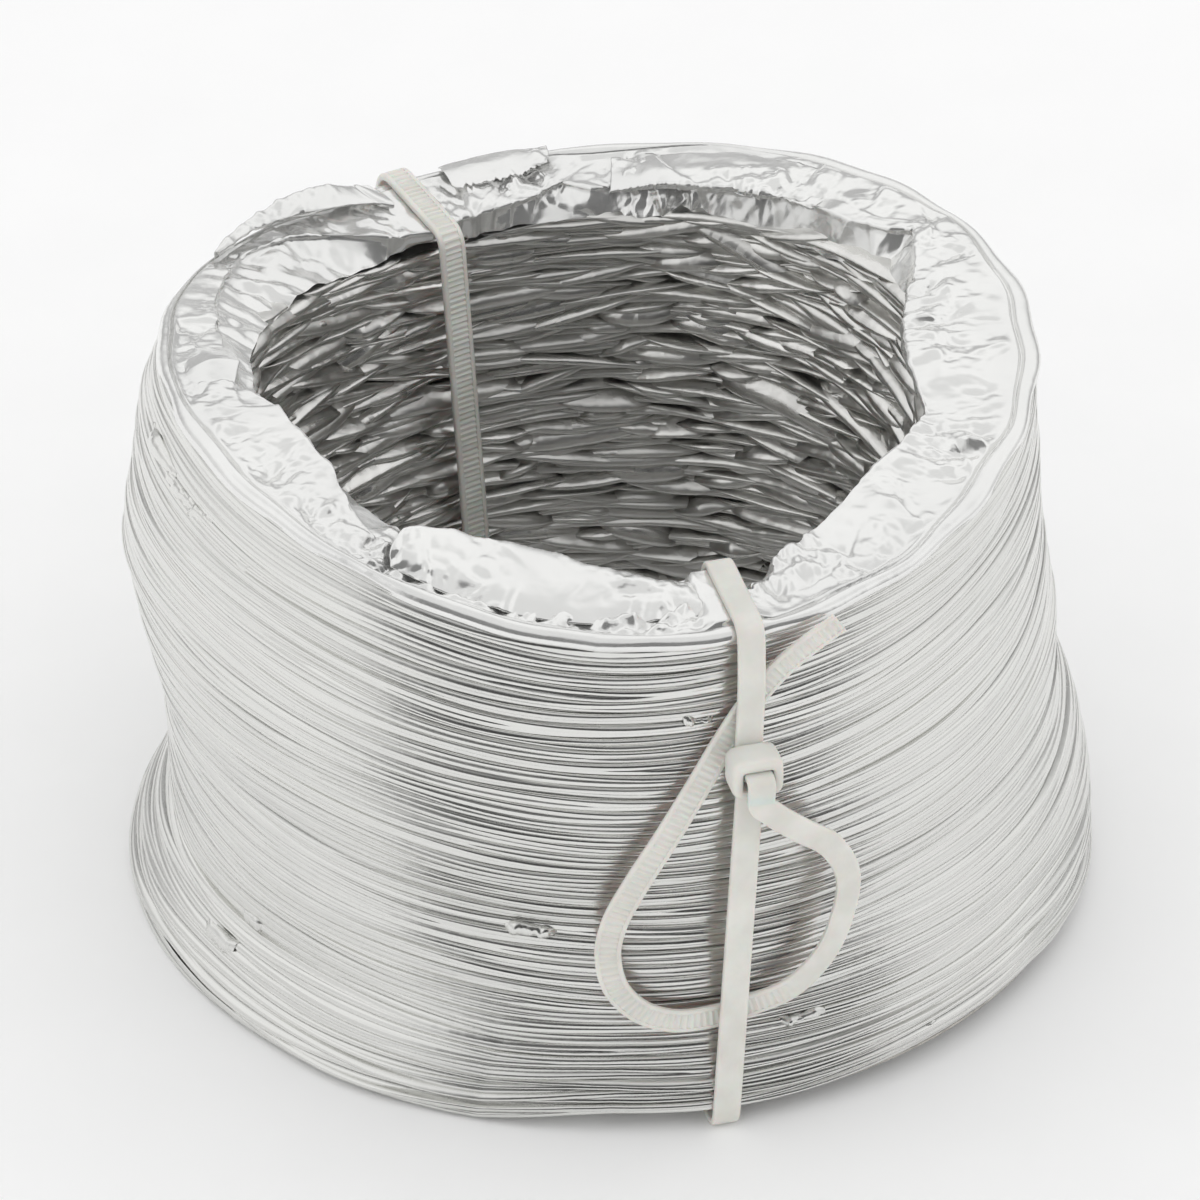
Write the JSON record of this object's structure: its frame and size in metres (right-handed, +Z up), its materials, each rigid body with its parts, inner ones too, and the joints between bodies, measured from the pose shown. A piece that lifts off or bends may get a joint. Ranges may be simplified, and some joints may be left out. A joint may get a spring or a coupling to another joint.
{
  "type": "flexible air duct",
  "caption": "Flexible foil ventilation duct with a spring-wire spiral, pressed short into a stack of turns and held by nylon cable ties.",
  "frame": {"origin": "centre of the bottom turn, on the floor that the duct stands on", "axes": "+Z up along the duct's axis, -Y towards the front tie, +X to the right seen from the front"},
  "size_m": [0.1686, 0.1712, 0.1097],
  "materials": {
    "foil_outside": "bright crumpled foil laminate",
    "foil_inside": "dull creased foil laminate",
    "spring_wire": "drawn spring steel wire",
    "nylon": "natural translucent nylon"
  },
  "bodies": {
    "base_turns": {"bottom_cuff": "foil_outside", "outer_foil_1": "foil_outside", "wire_turns_1": "spring_wire", "inner_pleats_1": "foil_inside", "front_cable_tie": "nylon", "rear_cable_tie": "nylon"},
    "turns_2": {"outer_foil_2": "foil_outside", "wire_turns_2": "spring_wire", "inner_pleats_2": "foil_inside"},
    "turns_3": {"outer_foil_3": "foil_outside", "wire_turns_3": "spring_wire", "inner_pleats_3": "foil_inside"},
    "turns_4": {"outer_foil_4": "foil_outside", "wire_turns_4": "spring_wire", "inner_pleats_4": "foil_inside"},
    "turns_5": {"outer_foil_5": "foil_outside", "wire_turns_5": "spring_wire", "inner_pleats_5": "foil_inside"},
    "turns_6": {"outer_foil_6": "foil_outside", "wire_turns_6": "spring_wire", "inner_pleats_6": "foil_inside"},
    "turns_7": {"outer_foil_7": "foil_outside", "wire_turns_7": "spring_wire", "inner_pleats_7": "foil_inside"},
    "turns_8": {"outer_foil_8": "foil_outside", "wire_turns_8": "spring_wire", "inner_pleats_8": "foil_inside", "top_cuff": "foil_outside"},
    "front_pawl": {"front_tie_pawl": "nylon"},
    "rear_pawl": {"rear_tie_pawl": "nylon"}
  },
  "joints": [
    {"name": "squeeze_2", "type": "slide", "parent": "base_turns", "child": "turns_2", "axis": [0, 0, 1], "range_m": [-0.0008, 0], "stiffness_N_per_m": 3000, "springref_m": 0.003},
    {"name": "squeeze_3", "type": "slide", "parent": "turns_2", "child": "turns_3", "axis": [0, 0, 1], "range_m": [-0.0008, 0], "stiffness_N_per_m": 3000, "springref_m": 0.003},
    {"name": "squeeze_4", "type": "slide", "parent": "turns_3", "child": "turns_4", "axis": [0, 0, 1], "range_m": [-0.0008, 0], "stiffness_N_per_m": 3000, "springref_m": 0.003},
    {"name": "squeeze_5", "type": "slide", "parent": "turns_4", "child": "turns_5", "axis": [0, 0, 1], "range_m": [-0.0008, 0], "stiffness_N_per_m": 3000, "springref_m": 0.003},
    {"name": "squeeze_6", "type": "slide", "parent": "turns_5", "child": "turns_6", "axis": [0, 0, 1], "range_m": [-0.0008, 0], "stiffness_N_per_m": 3000, "springref_m": 0.003},
    {"name": "squeeze_7", "type": "slide", "parent": "turns_6", "child": "turns_7", "axis": [0, 0, 1], "range_m": [-0.0008, 0], "stiffness_N_per_m": 3000, "springref_m": 0.003},
    {"name": "squeeze_8", "type": "slide", "parent": "turns_7", "child": "turns_8", "axis": [0, 0, 1], "range_m": [-0.0008, 0], "stiffness_N_per_m": 3000, "springref_m": 0.003},
    {"name": "front_pawl_flex", "type": "hinge", "parent": "base_turns", "child": "front_pawl", "pos_m": [0.02387, -0.07913, 0.0731], "axis": [0.9636, 0.2672, 0], "range_deg": [0, 12], "stiffness_Nm_per_rad": 0.002, "springref_deg": -2.86},
    {"name": "rear_pawl_flex", "type": "hinge", "parent": "base_turns", "child": "rear_pawl", "pos_m": [-0.04066, 0.07572, 0.0731], "axis": [-0.891, -0.454, 0], "range_deg": [0, 12], "stiffness_Nm_per_rad": 0.002, "springref_deg": -2.86}
  ],
  "couplings": [
    {"joint": "squeeze_3", "follows": "squeeze_2", "ratio": 1},
    {"joint": "squeeze_4", "follows": "squeeze_2", "ratio": 1},
    {"joint": "squeeze_5", "follows": "squeeze_2", "ratio": 1},
    {"joint": "squeeze_6", "follows": "squeeze_2", "ratio": 1},
    {"joint": "squeeze_7", "follows": "squeeze_2", "ratio": 1},
    {"joint": "squeeze_8", "follows": "squeeze_2", "ratio": 1}
  ]
}
